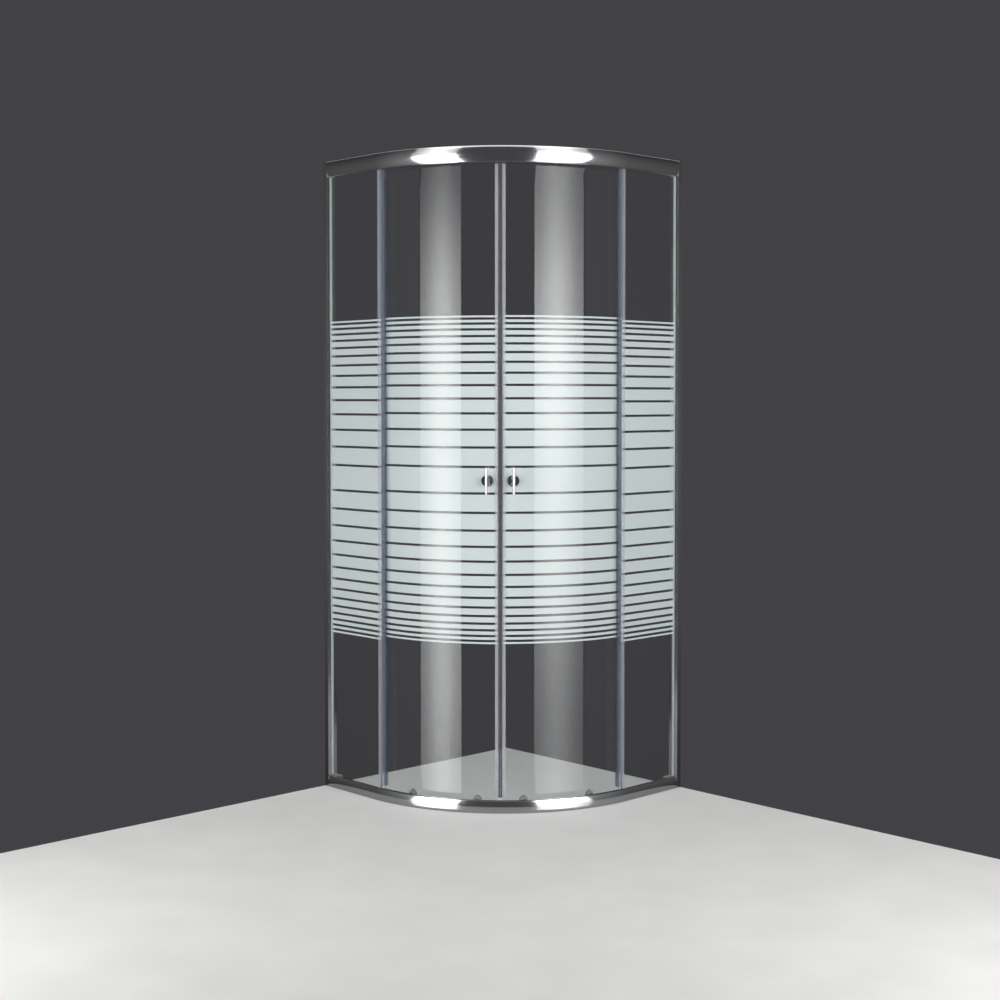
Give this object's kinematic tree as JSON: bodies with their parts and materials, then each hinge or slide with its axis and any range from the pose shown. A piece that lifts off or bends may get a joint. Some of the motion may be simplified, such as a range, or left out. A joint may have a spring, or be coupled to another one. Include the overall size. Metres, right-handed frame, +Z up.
{
  "type": "quadrant shower door",
  "caption": "Framed quadrant corner shower enclosure: flat fixed panes and curved glass doors that slide on rollers round a bent top rail, with striped print and bar handles.",
  "frame": {"origin": "under the middle of the plan box, on the plane that the bottom rail stands on", "axes": "+Z up, X and Y along the two walls; the walls are at -X and +Y, the rounded corner towards +X -Y"},
  "size_m": [0.79, 0.79, 1.95],
  "materials": {
    "polished_aluminium": "bright polished, chrome-like",
    "clear_glass": "clear toughened safety glass with printed white stripes",
    "chrome_fittings": "polished chrome",
    "seal_plastic": "translucent soft PVC",
    "magnet_strip": "matt bonded ferrite",
    "grey_plastic": "moulded, fine texture",
    "wheel_nylon": "smooth nylon",
    "steel": "plain stainless",
    "rubber": "matt"
  },
  "bodies": {
    "frame": {"top_rail": "polished_aluminium", "bottom_rail": "polished_aluminium", "left_wall_channel": "polished_aluminium", "right_wall_channel": "polished_aluminium", "left_stile": "polished_aluminium", "right_stile": "polished_aluminium", "left_fixed_pane": "clear_glass", "right_fixed_pane": "clear_glass", "left_glazing_gasket": "seal_plastic", "right_glazing_gasket": "seal_plastic", "left_end_blocks": "grey_plastic", "right_end_blocks": "grey_plastic", "frame_screws": "steel", "screw_caps": "chrome_fittings", "setting_blocks": "grey_plastic", "door_stops": "rubber", "left_overlap_seal": "seal_plastic", "right_overlap_seal": "seal_plastic"},
    "left_door": {"left_door_glass": "clear_glass", "left_magnet_carrier": "seal_plastic", "left_magnet_strip": "magnet_strip", "left_trailing_seal": "seal_plastic", "left_outer_handle": "chrome_fittings", "left_inner_handle": "chrome_fittings", "left_handle_washers": "rubber", "left_handle_stud": "steel", "left_axle_bolts": "steel", "left_roller_spacers": "grey_plastic", "left_cap_nuts": "chrome_fittings", "left_roller_housings": "grey_plastic", "left_ring_nuts": "grey_plastic", "left_inner_return_spring": "steel", "left_outer_return_spring": "steel"},
    "right_door": {"right_door_glass": "clear_glass", "right_magnet_carrier": "seal_plastic", "right_magnet_strip": "magnet_strip", "right_trailing_seal": "seal_plastic", "right_outer_handle": "chrome_fittings", "right_inner_handle": "chrome_fittings", "right_handle_washers": "rubber", "right_handle_stud": "steel", "right_axle_bolts": "steel", "right_roller_spacers": "grey_plastic", "right_cap_nuts": "chrome_fittings", "right_roller_housings": "grey_plastic", "right_ring_nuts": "grey_plastic", "right_inner_return_spring": "steel", "right_outer_return_spring": "steel"},
    "left_inner_top_wheel": {"left_inner_top_wheel": "wheel_nylon"},
    "left_inner_release_slider": {"left_inner_release_slider": "grey_plastic"},
    "left_inner_bottom_wheel": {"left_inner_bottom_wheel": "wheel_nylon"},
    "left_outer_top_wheel": {"left_outer_top_wheel": "wheel_nylon"},
    "left_outer_release_slider": {"left_outer_release_slider": "grey_plastic"},
    "left_outer_bottom_wheel": {"left_outer_bottom_wheel": "wheel_nylon"},
    "right_inner_top_wheel": {"right_inner_top_wheel": "wheel_nylon"},
    "right_inner_release_slider": {"right_inner_release_slider": "grey_plastic"},
    "right_inner_bottom_wheel": {"right_inner_bottom_wheel": "wheel_nylon"},
    "right_outer_top_wheel": {"right_outer_top_wheel": "wheel_nylon"},
    "right_outer_release_slider": {"right_outer_release_slider": "grey_plastic"},
    "right_outer_bottom_wheel": {"right_outer_bottom_wheel": "wheel_nylon"}
  },
  "joints": [
    {"name": "left_door_slide", "type": "hinge", "parent": "frame", "child": "left_door", "pos_m": [-0.145, 0.145, 0.975], "axis": [0, 0, -1], "range_deg": [0, 22]},
    {"name": "right_door_slide", "type": "hinge", "parent": "frame", "child": "right_door", "pos_m": [-0.145, 0.145, 0.975], "axis": [0, 0, 1], "range_deg": [0, 22]},
    {"name": "left_inner_top_wheel_spin", "type": "hinge", "parent": "left_door", "child": "left_inner_top_wheel", "pos_m": [0.16674, -0.26869, 1.9239], "axis": [0.6018, -0.7986, 0], "range_deg": [0, 950]},
    {"name": "left_inner_release", "type": "slide", "parent": "left_door", "child": "left_inner_release_slider", "axis": [0, 0, 1], "range_m": [0, 0.006], "stiffness_N_per_m": 400, "springref_m": -0.005, "deforming": ["left_inner_return_spring"]},
    {"name": "left_inner_bottom_wheel_spin", "type": "hinge", "parent": "left_inner_release_slider", "child": "left_inner_bottom_wheel", "pos_m": [0.16674, -0.26869, 0.0253], "axis": [0.6018, -0.7986, 0], "range_deg": [0, 1425]},
    {"name": "left_outer_top_wheel_spin", "type": "hinge", "parent": "left_door", "child": "left_outer_top_wheel", "pos_m": [-0.03465, -0.36111, 1.9239], "axis": [0.213, -0.977, 0], "range_deg": [0, 950]},
    {"name": "left_outer_release", "type": "slide", "parent": "left_door", "child": "left_outer_release_slider", "axis": [0, 0, 1], "range_m": [0, 0.006], "stiffness_N_per_m": 400, "springref_m": -0.005, "deforming": ["left_outer_return_spring"]},
    {"name": "left_outer_bottom_wheel_spin", "type": "hinge", "parent": "left_outer_release_slider", "child": "left_outer_bottom_wheel", "pos_m": [-0.03465, -0.36111, 0.0253], "axis": [0.213, -0.977, 0], "range_deg": [0, 1425]},
    {"name": "right_inner_top_wheel_spin", "type": "hinge", "parent": "right_door", "child": "right_inner_top_wheel", "pos_m": [0.26869, -0.16674, 1.9239], "axis": [-0.7986, 0.6018, 0], "range_deg": [0, 950]},
    {"name": "right_inner_release", "type": "slide", "parent": "right_door", "child": "right_inner_release_slider", "axis": [0, 0, 1], "range_m": [0, 0.006], "stiffness_N_per_m": 400, "springref_m": -0.005, "deforming": ["right_inner_return_spring"]},
    {"name": "right_inner_bottom_wheel_spin", "type": "hinge", "parent": "right_inner_release_slider", "child": "right_inner_bottom_wheel", "pos_m": [0.26869, -0.16674, 0.0253], "axis": [-0.7986, 0.6018, 0], "range_deg": [0, 1425]},
    {"name": "right_outer_top_wheel_spin", "type": "hinge", "parent": "right_door", "child": "right_outer_top_wheel", "pos_m": [0.36111, 0.03465, 1.9239], "axis": [-0.977, 0.213, 0], "range_deg": [0, 950]},
    {"name": "right_outer_release", "type": "slide", "parent": "right_door", "child": "right_outer_release_slider", "axis": [0, 0, 1], "range_m": [0, 0.006], "stiffness_N_per_m": 400, "springref_m": -0.005, "deforming": ["right_outer_return_spring"]},
    {"name": "right_outer_bottom_wheel_spin", "type": "hinge", "parent": "right_outer_release_slider", "child": "right_outer_bottom_wheel", "pos_m": [0.36111, 0.03465, 0.0253], "axis": [-0.977, 0.213, 0], "range_deg": [0, 1425]}
  ],
  "couplings": [
    {"joint": "left_inner_top_wheel_spin", "follows": "left_door_slide", "ratio": 43.167},
    {"joint": "left_inner_bottom_wheel_spin", "follows": "left_door_slide", "ratio": 64.75},
    {"joint": "left_outer_top_wheel_spin", "follows": "left_door_slide", "ratio": 43.167},
    {"joint": "left_outer_bottom_wheel_spin", "follows": "left_door_slide", "ratio": 64.75},
    {"joint": "right_inner_top_wheel_spin", "follows": "right_door_slide", "ratio": 43.167},
    {"joint": "right_inner_bottom_wheel_spin", "follows": "right_door_slide", "ratio": 64.75},
    {"joint": "right_outer_top_wheel_spin", "follows": "right_door_slide", "ratio": 43.167},
    {"joint": "right_outer_bottom_wheel_spin", "follows": "right_door_slide", "ratio": 64.75}
  ]
}
